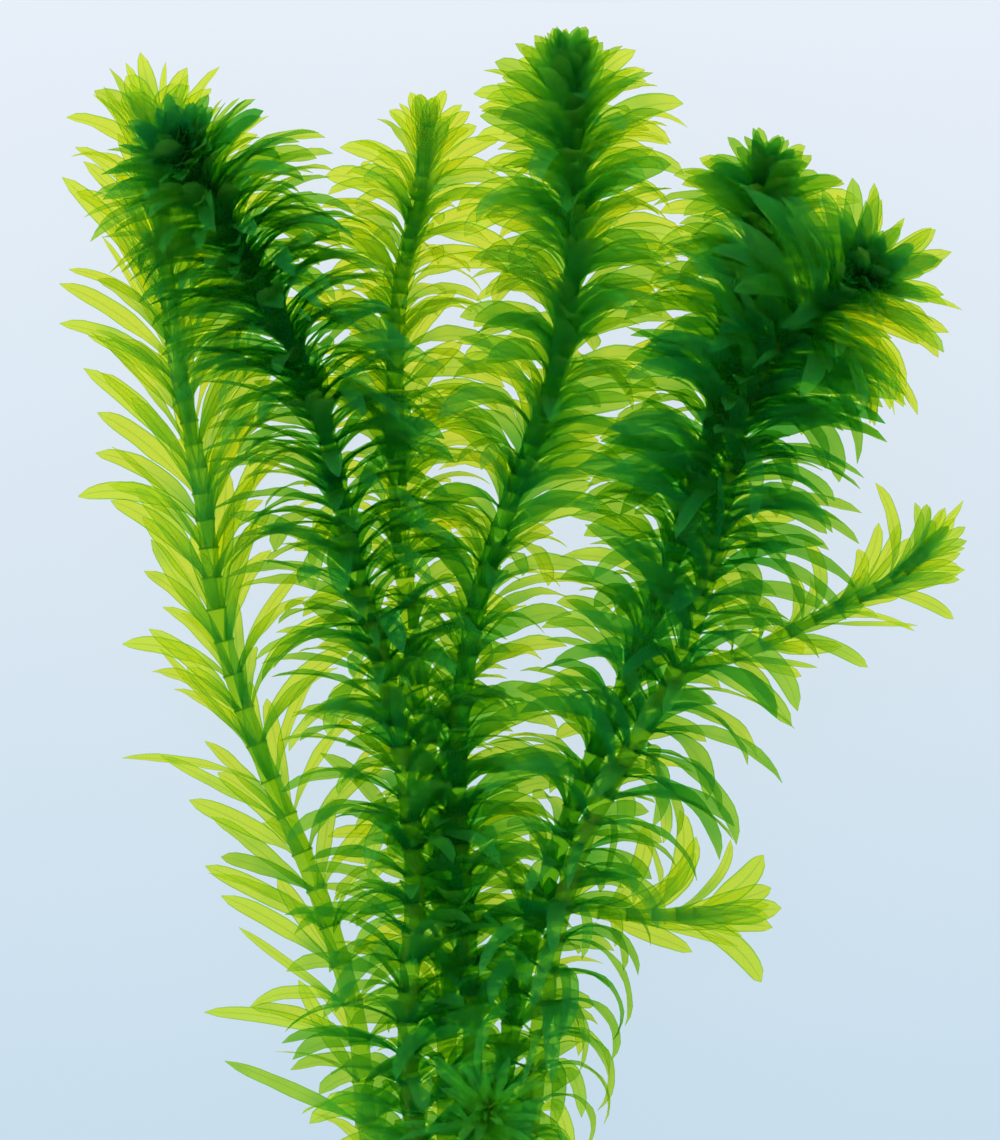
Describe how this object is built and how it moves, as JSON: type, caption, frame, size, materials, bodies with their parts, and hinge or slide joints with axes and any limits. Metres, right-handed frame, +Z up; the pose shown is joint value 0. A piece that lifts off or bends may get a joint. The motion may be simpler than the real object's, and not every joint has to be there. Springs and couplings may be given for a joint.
{
  "type": "brazilian waterweed",
  "caption": "Cut bunch of waterweed: long stems with whorls of arching, pointed green leaves and tight heads, forking from a short crown, lying on its side.",
  "frame": {"origin": "on the surface, under the middle of the bunch", "axes": "+Y from the cut foot to the heads, +Z up from the surface towards the viewer, +X to the right seen from above"},
  "size_m": [0.1646, 0.2272, 0.0604],
  "materials": {
    "leaf": "thin translucent leaf, satin",
    "stem": "fleshy translucent stem, satin"
  },
  "bodies": {
    "root": {"base_crown": "stem", "far_left_stem": "leaf", "left_front_stem": "leaf", "left_back_stem": "leaf", "centre_stem": "leaf", "right_back_stem": "leaf", "right_front_stem": "leaf", "right_side_shoot": "leaf", "lower_side_shoot": "leaf", "base_shoot": "leaf"}
  },
  "joints": []
}
